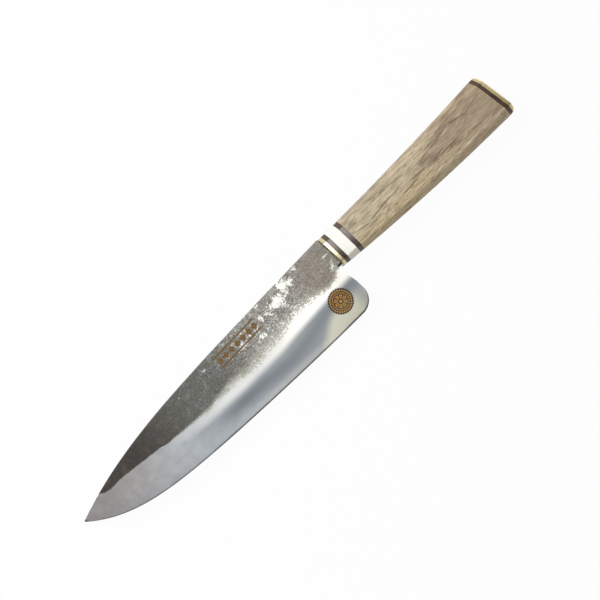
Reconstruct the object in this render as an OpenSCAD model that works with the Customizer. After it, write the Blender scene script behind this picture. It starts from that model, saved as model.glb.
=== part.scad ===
// Chef's knife with a forged blade and an octagonal handle, lying on its right face.
// Units are millimetres. X runs from the point to the butt, Y from the edge to the
// spine, Z up out of the face that is seen. Inside the modules the blade's middle plane
// is z = 0, the tang's axis is y = 0 and the front of the handle is x = 0. The last
// lines move the whole knife so that its lowest face stands on z = 0.

/* [Blade] */
// Length of the blade from the handle to the point
blade_len = 210; // [180:1:270]
// Height of the spine over the tang's axis, at the handle
spine_rise = 11.8; // [10:0.1:14]
// Depth of the edge under the tang's axis, at the heel
heel_depth = 37.8; // [32:0.1:44]
// How far the spine falls from the handle to the point
spine_drop = 15; // [10:0.1:22]
// How late the spine turns down, as a power of the length
spine_bend = 4.7; // [3:0.1:7]
// How far the edge rises in its long gentle sweep
edge_sweep = 15; // [10:0.5:20]
// How early the edge starts its sweep, as a power of the length
sweep_bend = 1.5; // [1.2:0.1:2.5]
// How late the edge turns up to the point, as a power of the length
point_bend = 9.1; // [6:0.1:14]
// Height left at the very point
point_blunt = 0.8; // [0.5:0.1:2]
// Thickness of the spine at the handle
spine_t = 3.2; // [2.8:0.1:4]
// Thickness where the bevel starts, at the handle
shoulder_t = 2.7; // [2.7:0.1:3]
// Thickness of the spine at the point
point_t = 1.1; // [0.8:0.1:1.6]
// Thickness left at the edge
edge_t = 0.3; // [0.2:0.05:0.5]
// Depth of the bevel's top under the tang's axis, at the handle
bevel_depth = 11.5; // [9:0.5:16]
// How far the bevel's top rises towards the point
bevel_rise = 15.5; // [10:0.5:20]
// How late the bevel's top rises, as a power of the length
bevel_bend = 3.5; // [2.5:0.1:5]
// Width of the flats that ease the spine's two corners
spine_ease = 0.4; // [0.2:0.1:0.8]

/* [Heel] */
// Radius of the rounded heel corner
heel_r = 10.5; // [4:0.5:14]
// Gap between the heel's back and the handle's front
heel_gap = 0.8; // [0.5:0.1:3]
// Depth of the neck's lower corner under the tang's axis
neck_depth = 8.6; // [6.8:0.1:9]
// Length of the relief notch between neck and heel
notch_len = 2.6; // [1.5:0.1:5]
// Height of the relief notch
notch_h = 2; // [1:0.1:3.5]
// Height over which the heel's back slopes out from the notch
choil_run = 11; // [8:0.5:14]

/* [Tang] */
// Length of the tang behind the handle's front
tang_len = 88; // [60:1:92]
// Height of the tang where it enters the handle
tang_h = 11.6; // [9:0.1:12]
// Height of the tang at its end
tang_end_h = 6.5; // [5:0.1:8.5]
// Thickness of the tang
tang_t = 2.6; // [2:0.1:2.7]

/* [Handle] */
// Length of the handle, measured on the tang's axis
handle_len = 135.1; // [125:0.1:150]
// Height of the handle over the tang's axis, at the front
up_front = 11.4; // [10.8:0.1:13]
// Height of the handle over the tang's axis, at the butt
up_butt = 11.4; // [10.8:0.1:15]
// How far the spine side dips in at the middle of the handle
waist = 1; // [0:0.1:1.8]
// Depth of the handle under the tang's axis, at the front
down_front = 10.3; // [9.6:0.1:13]
// Depth of the handle under the tang's axis, at the butt
down_butt = 20.3; // [14:0.1:24]
// How far the edge side swells out at the middle of the handle
swell = 1.6; // [0:0.1:3]
// Thickness of the handle at the front
thick_front = 18.4; // [17.6:0.1:22]
// Thickness of the handle at the butt
thick_butt = 22; // [18:0.1:26]
// Height of the corner facets at the front
facet_front = 3.6; // [2.4:0.1:4.2]
// Height of the corner facets at the butt
facet_butt = 5.2; // [3:0.1:6]
// How much of each edge between two facets is rubbed off
soften = 0.15; // [0.05:0.05:0.3]
// Slant of the butt, in degrees from square
butt_slant = 7; // [0:0.5:12]
// Radius of the butt's corner on the spine side
butt_r_up = 2; // [1:0.1:4]
// Radius of the butt's corner on the edge side
butt_r_down = 4; // [1:0.1:6]

/* [Front rings] */
// Thickness of the brass plate at the front
front_plate_t = 2.35; // [1.5:0.05:4]
// Thickness of the dark ring in front of the collar
front_spacer_t = 2.85; // [1.5:0.05:5]
// Length of the white collar
collar_len = 7.2; // [4:0.1:14]
// Thickness of the dark ring behind the collar
rear_spacer_t = 3.1; // [1.5:0.1:5]

/* [Butt plates] */
// Thickness of the dark plate at the butt
butt_spacer_t = 2.5; // [1.5:0.1:5]
// Thickness of the brass plate at the butt
butt_plate_t = 2.2; // [1.2:0.1:3]
// Diameter of the hidden locating pins
pin_d = 2.5; // [1.5:0.1:3]
// Depth of the pins in the wooden body
pin_in_body = 9; // [5:0.5:14]
// Depth of the pins in the brass plate
pin_in_plate = 0.9; // [0.5:0.1:1]
// Distance of the upper pin from the tang's axis
pin_up = 4; // [2:0.5:6]
// Distance of the lower pin from the tang's axis
pin_down = 12; // [8:0.5:14]

/* [Core] */
// Diameter of the wooden core dowel
dowel_d = 14; // [13.6:0.1:14.6]
// Length of the dowel behind the front plate
dowel_len = 100; // [96:1:104]
// Gap around the dowel in its bores
dowel_fit = 0.05; // [0.02:0.01:0.1]
// Thickness of the cured bedding at each side of the tang
bed_t = 0.3; // [0.2:0.05:0.4]
// Bedding behind the end of the tang
bed_end = 3; // [1:0.5:4]
// Gap between the tang and its slot in the front plate
slot_fit = 0.1; // [0.05:0.05:0.2]

/* [Hidden] */

$fn = 96;
// Half the size of every block that a cut or a slice reaches out to: past the heel
reach = heel_depth + thick_butt;
// How far a cut runs past the face that it opens
over = 1;
// Steps along the blade, round the heel and along the handle
blade_steps = 40;
heel_steps = 8;
handle_steps = 16;
corner_steps = 6;
// Spreads the blade's steps so that they lie closer near the point
step_power = 1.6;
// Share of the section that the bevel's top may reach at the point
bevel_cap = 0.8;
// Share of its wall that the spine's easing may take
ease_cap = 0.5;
// How far the handle's skin is drawn on behind the butt before it is cut
skin_over = 20;

// Places along the handle
front_spacer_x = front_plate_t;
collar_x = front_spacer_x + front_spacer_t;
rear_spacer_x = collar_x + collar_len;
body_x = rear_spacer_x + rear_spacer_t;
butt_plate_x = handle_len - butt_plate_t;
butt_spacer_x = butt_plate_x - butt_spacer_t;

// Blade curves, as functions of s: 0 at the handle's front, 1 at the point
function along(s) = -blade_len * s;
function spine_y(s) = spine_rise - spine_drop * pow(s, spine_bend);
point_y = spine_y(1) - point_blunt;
point_rise = point_y + heel_depth - edge_sweep;
function edge_y(s) =
    -heel_depth + edge_sweep * pow(s, sweep_bend) + point_rise * pow(s, point_bend);
function bevel_y(s) =
    let (free = -bevel_depth + bevel_rise * pow(s, bevel_bend))
    min(free, edge_y(s) + bevel_cap * (spine_y(s) - edge_y(s)));
function blend(a, b, s) = a + (b - a) * s;
function spine_half(s) = blend(spine_t, point_t, s) / 2;
function shoulder_half(s) = blend(shoulder_t, min(point_t, shoulder_t), s) / 2;
// Half thickness of the bevel at height y
function bevel_half(s, y) =
    blend(edge_t / 2, shoulder_half(s), (y - edge_y(s)) / (bevel_y(s) - edge_y(s)));

// Rounded heel: the edge line ends heel_r in front of the heel's back
heel_s = (heel_gap + heel_r) / blade_len;
heel_mid_y = edge_y(heel_s) + heel_r;
function round_s(i) = (heel_gap + heel_r * (1 - sin(90 * i / heel_steps))) / blade_len;
function round_y(i) = heel_mid_y - heel_r * cos(90 * i / heel_steps);

// One section of the blade: eight points round, from the spine down to the low point
function section(s, low) =
    let (
        x = along(s),
        top = spine_y(s),
        mid = bevel_y(s),
        half = spine_half(s),
        ease = min(spine_ease, ease_cap * half, ease_cap * (top - mid)),
        mid_half = shoulder_half(s),
        low_half = bevel_half(s, low)
    )
    [
        [x, top, half - ease],
        [x, top - ease, half],
        [x, mid, mid_half],
        [x, low, low_half],
        [x, low, -low_half],
        [x, mid, -mid_half],
        [x, top - ease, -half],
        [x, top, ease - half]
    ];

// Places of the sections, from the point to the handle
function even_s(i) = heel_s + (1 - heel_s) * pow(i / blade_steps, 1 / step_power);
blade_sections = concat(
    [for (i = [blade_steps:-1:0]) section(even_s(i), edge_y(even_s(i)))],
    [for (i = [1:heel_steps]) section(round_s(i), round_y(i))],
    [section(0, heel_mid_y)]
);

// Faces of a solid through rings of n points, closed at both ends
function loft_faces(rings, n) = concat(
    [[for (k = [0:n - 1]) k]],
    [for (r = [0:rings - 2]) for (k = [0:n - 1])
        let (a = r * n + k, b = r * n + (k + 1) % n)
        each [[a, a + n, b], [b, a + n, b + n]]],
    [[for (k = [n - 1:-1:0]) (rings - 1) * n + k]]
);

// Handle curves, as functions of x behind the handle's front
function bow(x) = 4 * (x / handle_len) * (1 - x / handle_len);
function up_y(x) = blend(up_front, up_butt, x / handle_len) - waist * bow(x);
function down_y(x) = blend(down_front, down_butt, x / handle_len) + swell * bow(x);
function half_t(x) = blend(thick_front, thick_butt, x / handle_len) / 2;
function facet(x) = blend(facet_front, facet_butt, x / handle_len);

// Distance from the axis to the handle's skin, in the direction that leans by a degrees
// from Y. The section's two corners on that side set it, less what is rubbed off.
function support(x, a, side) =
    let (
        low = side * cos(a) + (half_t(x) - facet(x)) * sin(a),
        high = (side - facet(x)) * cos(a) + half_t(x) * sin(a)
    )
    max(low, high) - (a % 45 > 0 ? soften : 0);
skin_angles = [-67.5, -45, -22.5, 22.5, 45, 67.5];
skin_end = handle_len + skin_over;
function skin_x(i) = -over + (skin_end + over) * i / handle_steps;
function skin_outline(a) = concat(
    [for (i = [0:handle_steps]) [skin_x(i), support(skin_x(i), abs(a), up_y(skin_x(i)))]],
    [for (i = [handle_steps:-1:0]) [skin_x(i), -support(skin_x(i), abs(a), down_y(skin_x(i)))]]
);

// The butt's slanted line, and its rounded corners in plan
function butt_x(y) = handle_len - y * tan(butt_slant);
function unit(v) = v / norm(v);
function fillet(p, u, v, r) =
    let (
        half_angle = acos(u * v) / 2,
        mid = p + unit(u + v) * r / sin(half_angle),
        start = p + u * r / tan(half_angle) - mid,
        stop = p + v * r / tan(half_angle) - mid,
        from = atan2(start[1], start[0]),
        turn = atan2(stop[1], stop[0]) - from
    )
    [for (i = [0:corner_steps]) mid + r * [cos(from + turn * i / corner_steps),
        sin(from + turn * i / corner_steps)]];
up_slope = (up_y(handle_len) - up_y(handle_len - over)) / over;
down_slope = (down_y(handle_len) - down_y(handle_len - over)) / over;
up_corner = [butt_x(up_butt), up_butt - up_slope * up_butt * tan(butt_slant)];
down_corner = [butt_x(-down_butt), -down_butt - down_slope * down_butt * tan(butt_slant)];
butt_line = [sin(butt_slant), -cos(butt_slant)];
up_arc = fillet(up_corner, unit([-1, -up_slope]), butt_line, butt_r_up);
down_arc = fillet(down_corner, -butt_line, unit([-1, down_slope]), butt_r_down);
function plan_x(i) = -over + (up_arc[0][0] + over) * i / handle_steps;
function plan_low_x(i) = -over + (down_arc[corner_steps][0] + over) * i / handle_steps;
plan = concat(
    [for (i = [0:handle_steps - 1]) [plan_x(i), up_y(plan_x(i))]],
    up_arc,
    down_arc,
    [for (i = [handle_steps - 1:-1:0]) [plan_low_x(i), -down_y(plan_low_x(i))]]
);

// The knife's box, for standing it on z = 0 with its middle over the origin
far_x = max([for (p = down_arc) p[0]]);
high_y = max(spine_rise, up_y(0), up_arc[0][1]);
deep_y = min(edge_y(heel_s), -down_y(handle_len));
lowest_x = butt_x(facet_butt - down_butt);
shift = [(blade_len - far_x) / 2, -(high_y + deep_y) / 2, half_t(lowest_x)];

// The octagonal handle, whole, with softened edges and the rounded butt
module handle_form() {
    intersection() {
        translate([0, 0, -reach]) linear_extrude(2 * reach) polygon(plan);
        rotate([90, 0, 0]) translate([0, 0, -reach]) linear_extrude(2 * reach)
            polygon([[-over, half_t(-over)], [skin_end, half_t(skin_end)],
                [skin_end, -half_t(skin_end)], [-over, -half_t(-over)]]);
        intersection_for (a = skin_angles)
            rotate([a, 0, 0]) translate([0, 0, -reach]) linear_extrude(2 * reach)
                polygon(skin_outline(a));
    }
}

// What lies between two cuts across the handle, each with its own slant
module between(x0, slant0, x1, slant1) {
    translate([0, 0, -reach]) linear_extrude(2 * reach) polygon([
        [x0 - reach * tan(slant0), reach],
        [x1 - reach * tan(slant1), reach],
        [x1 + reach * tan(slant1), -reach],
        [x0 + reach * tan(slant0), -reach]
    ]);
}

// A slice of the handle
module slice(x0, slant0, x1, slant1) {
    intersection() {
        handle_form();
        between(x0, slant0, x1, slant1);
    }
}

// A round bar along the handle's axis
module bar(x0, x1, d) {
    translate([x0, 0, 0]) rotate([0, 90, 0]) cylinder(h = x1 - x0, d = d);
}

// A ring of the front stack, bored for the dowel
module front_ring(x0, x1) {
    difference() {
        slice(x0, 0, x1, 0);
        bar(x0 - over, x1 + over, dowel_d + 2 * dowel_fit);
    }
}

// The tang, grown by a gap in height and in thickness
module tang(x0, grow) {
    front_h = tang_h + 2 * grow;
    end_h = tang_end_h + 2 * grow;
    translate([0, 0, -tang_t / 2 - grow]) linear_extrude(tang_t + 2 * grow) polygon([
        [x0, front_h / 2],
        [0, front_h / 2],
        [tang_len, end_h / 2],
        [tang_len, -end_h / 2],
        [0, -front_h / 2],
        [x0, -front_h / 2]
    ]);
}

// The pins stand square on the slanted butt
module pins(d, in_body, in_plate) {
    translate([butt_spacer_x, 0, 0]) rotate([0, 0, butt_slant])
        for (y = [pin_up, -pin_down])
            translate([-in_body, y, 0]) rotate([0, 90, 0])
                cylinder(h = in_body + butt_spacer_t * cos(butt_slant) + in_plate, d = d);
}

// Space behind the heel: the relief notch and the heel's sloping back
module heel_relief() {
    notch_y = -neck_depth - notch_h;
    translate([0, 0, -reach]) linear_extrude(2 * reach) polygon([
        [-notch_len, -neck_depth],
        [-notch_len, notch_y],
        [-heel_gap, notch_y - choil_run],
        [-heel_gap, -reach],
        [over, -reach],
        [over, -neck_depth]
    ]);
}

module blade() {
    color([0.5, 0.5, 0.52]) union() {
        difference() {
            polyhedron([for (s = blade_sections) each s],
                loft_faces(len(blade_sections), len(blade_sections[0])), convexity = 4);
            heel_relief();
        }
        tang(-notch_len, 0);
    }
}

module front_plate() {
    color([0.85, 0.72, 0.35]) difference() {
        slice(0, 0, front_spacer_x, 0);
        tang(-over, slot_fit);
    }
}

module front_spacer() {
    color([0.25, 0.18, 0.17]) front_ring(front_spacer_x, collar_x);
}

module collar() {
    color([0.95, 0.94, 0.91]) front_ring(collar_x, rear_spacer_x);
}

module rear_spacer() {
    color([0.25, 0.18, 0.17]) front_ring(rear_spacer_x, body_x);
}

module handle_body() {
    color([0.66, 0.58, 0.45]) difference() {
        slice(body_x, 0, butt_spacer_x, butt_slant);
        bar(body_x - over, front_spacer_x + dowel_len, dowel_d + 2 * dowel_fit);
        pins(pin_d, pin_in_body, pin_in_plate);
    }
}

// The slot for the tang is cut straight through the dowel's front
module tang_slot() {
    slot_h = tang_h + 2 * bed_t;
    slot_t = tang_t + 2 * bed_t;
    translate([front_spacer_x, -slot_h / 2, -slot_t / 2])
        cube([tang_len + bed_end - front_spacer_x, slot_h, slot_t]);
}

module core_dowel() {
    color([0.85, 0.77, 0.6]) difference() {
        bar(front_spacer_x, front_spacer_x + dowel_len, dowel_d);
        tang_slot();
    }
}

module tang_bedding() {
    color([0.9, 0.85, 0.65]) difference() {
        tang_slot();
        tang(0, 0);
    }
}

module butt_spacer() {
    color([0.25, 0.18, 0.17]) difference() {
        slice(butt_spacer_x, butt_slant, butt_plate_x, butt_slant);
        pins(pin_d, pin_in_body, pin_in_plate);
    }
}

module butt_plate() {
    color([0.85, 0.72, 0.35]) difference() {
        slice(butt_plate_x, butt_slant, handle_len, butt_slant);
        pins(pin_d, pin_in_body, pin_in_plate);
    }
}

module butt_pins() {
    color([0.85, 0.72, 0.35]) pins(pin_d, pin_in_body, pin_in_plate);
}

translate(shift) blade();
translate(shift) front_plate();
translate(shift) front_spacer();
translate(shift) collar();
translate(shift) rear_spacer();
translate(shift) handle_body();
translate(shift) core_dowel();
translate(shift) tang_bedding();
translate(shift) butt_spacer();
translate(shift) butt_plate();
translate(shift) butt_pins();
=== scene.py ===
import math

import bmesh
import bpy
import numpy as np
from mathutils import Matrix, Vector


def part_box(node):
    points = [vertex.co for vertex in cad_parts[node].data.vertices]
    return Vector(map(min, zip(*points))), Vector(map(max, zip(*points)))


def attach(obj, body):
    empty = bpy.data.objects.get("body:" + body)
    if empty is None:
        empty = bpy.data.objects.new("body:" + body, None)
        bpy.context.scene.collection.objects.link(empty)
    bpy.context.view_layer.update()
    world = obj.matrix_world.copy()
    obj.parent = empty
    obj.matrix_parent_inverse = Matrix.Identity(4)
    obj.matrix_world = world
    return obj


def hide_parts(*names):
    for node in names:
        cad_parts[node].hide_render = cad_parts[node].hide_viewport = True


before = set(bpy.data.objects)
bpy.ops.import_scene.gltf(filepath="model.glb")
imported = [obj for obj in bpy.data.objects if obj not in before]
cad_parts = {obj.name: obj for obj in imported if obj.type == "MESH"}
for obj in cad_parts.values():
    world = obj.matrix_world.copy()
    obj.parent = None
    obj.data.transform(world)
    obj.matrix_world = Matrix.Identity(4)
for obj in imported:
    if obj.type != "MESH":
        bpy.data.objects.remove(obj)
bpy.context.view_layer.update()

BODY = "root"
MM = 0.001

# The knife's own axes: x from the front of the handle to the butt, y to the spine and
# z out of the blade's near side. Sizes below are in millimetres along these axes.
_plate_low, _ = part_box("front_plate")
_bed_low, _bed_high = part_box("tang_bedding")
ORIGIN = Vector((_plate_low.x, (_bed_low.y + _bed_high.y) / 2, (_bed_low.z + _bed_high.z) / 2))

# Sizes of the blade

BLADE_LEN = 210.0
SPINE_Y, EDGE_Y = 11.8, -37.8
# How far the spine falls to the point, and the power of the length that it follows
SPINE_DROP, SPINE_BEND = 15.0, 4.7
# How far the edge rises in its long sweep, and then in its turn up to the blunt point
EDGE_SWEEP, SWEEP_BEND = 15.0, 1.5
POINT_BLUNT, POINT_BEND = 0.8, 9.1
POINT_RISE = SPINE_Y - SPINE_DROP - POINT_BLUNT - EDGE_Y - EDGE_SWEEP
# Thickness of the spine and where the bevel starts, both at the handle, and of the point
SPINE_T, SHOULDER_T, POINT_T = 3.2, 2.7, 1.1
# Width of the flats that ease the spine's corners
SPINE_EASE = 0.4
# Half the thickness at the foot of the bevel, and the share of it that is lost by the point
EDGE_HALF, EDGE_LOSS = 0.15, 0.3
# Half the thickness of the keen edge, and the height of the small bevel that leads to it
KEEN_HALF, MICRO_BEVEL = 0.04, 0.6
# The power that makes the bevel a little convex
BEVEL_POWER = 0.9
# Gap between the heel and the handle, and the radius of the heel's rounded corner
HEEL_GAP, HEEL_R = 0.8, 10.5
# The tang's length, half its height where it enters the handle and at its end, and half its thickness
TANG_LEN, TANG_FRONT_HALF, TANG_END_HALF, TANG_HALF_T = 88.0, 5.8, 3.25, 1.3
# The notch behind the heel, under the neck, and the low end of the heel's sloping back
NECK_Y, NOTCH_X, NOTCH_Y, CHOIL_Y = -8.6, -2.6, -10.6, -21.6
# The mesh's rows below the heel's back, its steps across the spine, the distance between its columns
# and the place where they fan out
LOW_ROWS, TOP_STEPS, COLUMN_STEP, HEEL_ZONE = 34, 6, 0.5, -12.0
# The unevenness from the hammer, from the scale and along the spine, in layers: each one's height,
# the width of its features and the seed of its noise
HAMMER = ((0.024, 9, 1), (0.016, 3.8, 2))
SCALE = ((0.03, 1.7, 3), (0.03, 0.8, 4))
NICKS = ((0.07, 6, 21), (0.03, 1.6, 22))
# How deep the nicks are on average
NICK_DEPTH = 0.1
# How far apart the noise of the two faces is taken, so that they differ
SIDE_SHIFT = 300

# Where the steel changes

# Where the polished bevel begins, from the point to the handle
GRIND_X = (-210, -198, -194, -190, -186, -178, -170, -158, -150, -142,
           -127, -114, -100, -92, -84, -77, -68, -58, -47, -40,
           -32, -25, -18, -14, -10.5, -7, -5, -3, 0)
GRIND_Y = (14, 5.0, -0.2, -2.1, -3.1, -3.3, -4.3, -6.1, -7.4, -8.7,
           -10.6, -11.6, -11.2, -11.4, -13.0, -12.8, -12.2, -11.8, -10.4, -9.8,
           -9.2, -10.5, -12.5, -13.1, -12.7, -11.0, -9.6, -8.6, -7.5)
# The lower limit of the bevel's bright upper band, a painted reflection
GLEAM_X = (-210, -165, -140, -120, -90, -61, -42, -27, 0)
GLEAM_Y = (0, -8, -13, -16.2, -18.2, -18.9, -17.4, -17.0, -17.2)
# How strong that painted reflection is
GLEAM_AT = (-150, -140, -120, -100, -80, -60, -50, -42)
GLEAM_AMOUNT = (0, 0.08, 0.24, 0.43, 0.5, 0.66, 0.86, 1.0)
# The fainter sheen just above the cutting edge, also a painted reflection
SHEEN_AT = (-118, -98, -84, -60, -40, -30)
SHEEN_AMOUNT = (0, 0.1, 0.18, 0.2, 0.2, 0)
# The middle of the darker band below the bright one, a painted reflection of dark surroundings, and how
# strong it is
DARK_REFLECTION_X = (-145, -120, -105, -95, -80, -60, -45, -30, -15, 0)
DARK_REFLECTION_Y = (-17, -20.0, -22.0, -22.6, -23.8, -26.2, -24.8, -22.0, -20.6, -20.4)
DARK_REFLECTION_AMOUNT = (0, 0.3, 0.85, 1.0, 0.8, 0.66, 0.55, 0.55, 0.45, 0.4)
# How far above the grinding line the skin is worn pale
WORN_AT = (-150, -110, -75, -60, -28, -14, 0)
WORN_WIDTH = (1.2, 3.4, 7.0, 9.5, 6.5, 3.0, 2.5)
# Patches where the forged skin is rubbed bright: x, y, half length, half height, amount
BARE_PATCHES = (
    (-41.7, 4.6, 4.6, 2.6, 1.15), (-45.0, 3.4, 2.6, 1.8, 0.8), (-33.6, 9.3, 3.0, 3.2, 1.15),
    (-29.2, 6.6, 4.2, 2.8, 0.92), (-21.8, 10.5, 2.4, 1.6, 1.0), (-55.8, 4.1, 1.7, 2.1, 0.85),
    (-40.2, -0.9, 3.0, 2.4, 0.72), (-52.0, 10.6, 2.2, 0.9, 0.7), (-62.4, -4.1, 1.9, 1.5, 0.75),
    (-36.5, 3.0, 5.0, 1.5, 0.6), (-6.4, -6.2, 3.2, 1.9, 0.6), (-3.6, 2.0, 2.6, 0.5, 1.3),
    (-3.0, -3.8, 3.4, 3.6, 0.5), (-66.0, 1.0, 11.0, 6.0, 0.38), (-73.5, 0.4, 3.4, 1.4, 0.65),
    (-84.5, -0.6, 1.6, 1.4, 0.6), (-50.6, 3.4, 3.0, 2.0, 0.55), (-46.5, 0.4, 4.0, 1.4, 0.4),
    (-46.0, -6.0, 15.0, 3.5, 0.36), (-76.0, 9.5, 6.0, 1.5, 0.4), (-100.5, 6.6, 0.8, 0.6, 0.8),
    (-122.0, 6.2, 0.7, 0.6, 0.95))
# Patches where the dark scale has stayed on
SOOT_PATCHES = (
    (-51.5, 5.0, 3.6, 3.0, 0.75), (-26.6, 9.9, 2.8, 1.3, 0.6), (-50.0, -3.6, 5.0, 2.2, 0.5),
    (-35.5, -4.6, 5.0, 2.6, 0.5), (-62.0, 7.0, 4.0, 2.6, 0.4), (-28.0, 1.0, 7.0, 3.0, 0.25),
    (-4.0, 6.5, 3.0, 3.6, 0.4), (-12.0, -8.0, 7.0, 2.5, 0.3))

# Sizes of the handle

HANDLE_LEN = 135.1
# Height of the handle's back over the tang's axis and of its belly under it, half its thickness, and
# how much its corners are cut, each at the front and at the butt
BACK, BELLY, HALF_T, FACET = (11.4, 11.4), (10.3, 20.3), (9.2, 11.0), (3.6, 5.2)
# How far the back dips and the belly swells halfway along
DIP, SWELL = 1.0, 1.6
# How much a corner facet narrows when the section shrinks by 1: 2 less the root of 2
FACET_LOSS = 0.586
BUTT_ANGLE = math.radians(7)
BUTT_SLANT = math.tan(BUTT_ANGLE)
# Radii that round the butt off towards the back and towards the belly
BUTT_R_UP, BUTT_R_DOWN = 2.0, 4.0
# Radius of the octagon's corners, and the largest share of a face that one of them takes
CORNER_R, CORNER_SHARE = 1.4, 0.48
# How far the broad faces stand out in their middle, and the steps across each of the eight faces
CROWN, FACE_STEPS = 0.22, (4, 14, 4, 4, 4, 14, 4, 4)
# Distance between the handle's sections, and the room left between them and a rounded rim
SECTION_STEP, RIM_GUARD = 0.9, 0.03
# Radii of the rims at the seams, at the front plate's face and at the butt's end
SEAM_R, PLATE_RIM, BUTT_RIM = 0.1, 0.3, 0.35
# Diameter of the bore for the dowel, and where it ends
BORE_D, BORE_END = 14.1, 102.35
# Diameter of the butt's pins, and their heights over the tang's axis
PIN_D, PIN_PLACES = 2.5, (4.0, -12.0)
# Where the pins' holes begin and end, counted from the front of the butt's dark layer. They stop
# inside the body and the brass, and run right through the dark layer
HOLE_IN_BODY, HOLE_IN_SPACER, HOLE_IN_PLATE = (-9.0, 2.0), (-2.0, 6.0), (-2.0, 3.38)
# Room round the tang in the front plate, and how far a cutter runs past the faces that it opens
SLOT_ROOM, PAST = 0.1, 1.0
# Where each layer of the handle begins
PLATE_X, FRONT_SPACER_X, COLLAR_X, REAR_SPACER_X = 0.0, 2.35, 5.2, 12.4
BODY_X, BUTT_SPACER_X, BUTT_PLATE_X = 15.5, 130.4, 132.9

# Ornaments and figure

# The medallion's middle
MEDALLION_X, MEDALLION_Y = -16.0, -23.1
# The etched border's start, its middle line, the length of one lozenge and how many there are
BORDER_X, BORDER_Y, BORDER_STEP, BORDER_COUNT = -92.0, 3.7, 4.7, 7
# Half the height of a lozenge
LOZENGE_HALF = 2.35
# Long dark lines in the walnut's figure: each one's two ends, half its width and its strength
FIGURE_LINES = (
    ((15, -0.6), (28, -3.4), 0.6, 0.85),
    ((22, -4.4), (36, -5.4), 0.5, 0.6),
    ((31, -2.4), (54, -1.6), 0.6, 0.9),
    ((36, 5.4), (62, 2.4), 1.0, 0.6),
    ((54, -5.7), (66, -5.5), 0.55, 0.9),
    ((63, -3.7), (84, -5.9), 1.2, 0.75),
    ((84, 0.8), (101, 4.2), 1.3, 0.8),
    ((101, 4.2), (114, 0.6), 1.3, 0.8),
    ((113, 0.8), (127, 3.8), 0.9, 0.5),
    ((86, -6.1), (107, -5.8), 0.55, 0.85))
# How far the lines drift across the grain for each millimetre below the near face, and where it is
LINE_DRIFT, NEAR_FACE = 0.25, 9.5

# Light, floor and camera

WHITE = (1.0, 1.0, 1.0, 1.0)
# The light that comes evenly from all round
SKY = 0.4
# What a mirror shows of the room round the softboxes: the ceiling, and the wall away from the lights.
# The other walls, and all that the camera sees, are white
CEILING, DIM_WALL = 0.5, 0.5
# Half the floor's width in metres, the grey that takes the shadow, and how much of it glows white
# where it is seen directly
FLOOR_HALF, FLOOR_GREY, FLOOR_GLOW = 3.0, 0.75, 0.96
# Each softbox: its name, place, aim, size in metres and power in watts
SOFTBOXES = (
    ("overhead", (0.12, 0.14, 1.5), (0.12, 0.14, 0.0), (0.32, 0.34), 2.1),
    ("blade_panel", (-0.16, -0.13, 1.5), (-0.16, -0.13, 0.0), (0.36, 0.3), 0.5),
    ("key", (-0.5, 0.75, 1.0), (0, 0, 0), (0.4, 0.4), 13.0))
# The photograph's camera: its place, the point in the middle of the picture and the way to the right
CAMERA_PLACE = Vector((-112.0532, 42.5164, 1170.6847)) * MM
CAMERA_TARGET = Vector((4.5468, 7.5364, 11.0247)) * MM
CAMERA_RIGHT = Vector((0.6858, -0.72212, 0.09074))


# Small helpers

def srgb(r, g, b):
    """A colour read off as 0 to 255, as the linear values that a shader takes."""
    def linear(c):
        c /= 255
        return c / 12.92 if c <= 0.04045 else ((c + 0.055) / 1.055) ** 2.4
    return (linear(r), linear(g), linear(b), 1.0)


def smooth_step(low, high, v):
    t = np.clip((np.asarray(v, float) - low) / (high - low), 0, 1)
    return t * t * (3 - 2 * t)


def bump_at(v, middle, width):
    return np.exp(-((v - middle) / width) ** 2)


def noise(x, y, cell, seed):
    """Smooth noise from -1 to 1 over a plane, with features about one cell wide."""
    count = 256
    table = np.random.default_rng(seed).uniform(-1, 1, (count, count))
    u, v = x / cell, y / cell
    i, j = np.floor(u).astype(int), np.floor(v).astype(int)
    fu, fv = smooth_step(0, 1, u - i), smooth_step(0, 1, v - j)

    def at(a, b):
        return table[(i + a) % count, (j + b) % count]

    return ((at(0, 0) * (1 - fu) + at(1, 0) * fu) * (1 - fv)
            + (at(0, 1) * (1 - fu) + at(1, 1) * fu) * fv)


def add_object(name, data):
    obj = bpy.data.objects.new(name, data)
    bpy.context.scene.collection.objects.link(obj)
    return obj


def finish_mesh(name, verts, faces, sharp=20):
    """A mesh object from points in the knife's own millimetres, with even normals."""
    mesh = bpy.data.meshes.new(name)
    placed = np.asarray(verts, float) * MM + np.array(ORIGIN)
    mesh.from_pydata(placed.tolist(), [], faces)
    obj = add_object(name, mesh)
    settle(obj, sharp)
    return obj


def settle(obj, sharp=20):
    """Turns the faces outward, drops doubled points and shades smooth up to an angle."""
    bm = bmesh.new()
    bm.from_mesh(obj.data)
    bmesh.ops.remove_doubles(bm, verts=bm.verts, dist=1e-7)
    bmesh.ops.recalc_face_normals(bm, faces=bm.faces)
    bm.to_mesh(obj.data)
    bm.free()
    obj.data.shade_smooth()
    obj.data.set_sharp_from_angle(angle=math.radians(sharp))


def ring_faces(count, around):
    """The faces that join rings of the same number of points, each to the next."""
    faces = []
    for a in range(0, (count - 1) * around, around):
        for k in range(around):
            n = (k + 1) % around
            faces.append((a + k, a + around + k, a + around + n, a + n))
    return faces


def loft(name, rings):
    """A closed mesh through rings that all have the same number of points."""
    rings = np.asarray(rings, float)
    count, around = rings.shape[:2]
    ends = [tuple(range(around)), tuple(range((count - 1) * around, count * around))]
    return finish_mesh(name, rings.reshape(-1, 3), ring_faces(count, around) + ends)


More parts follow.
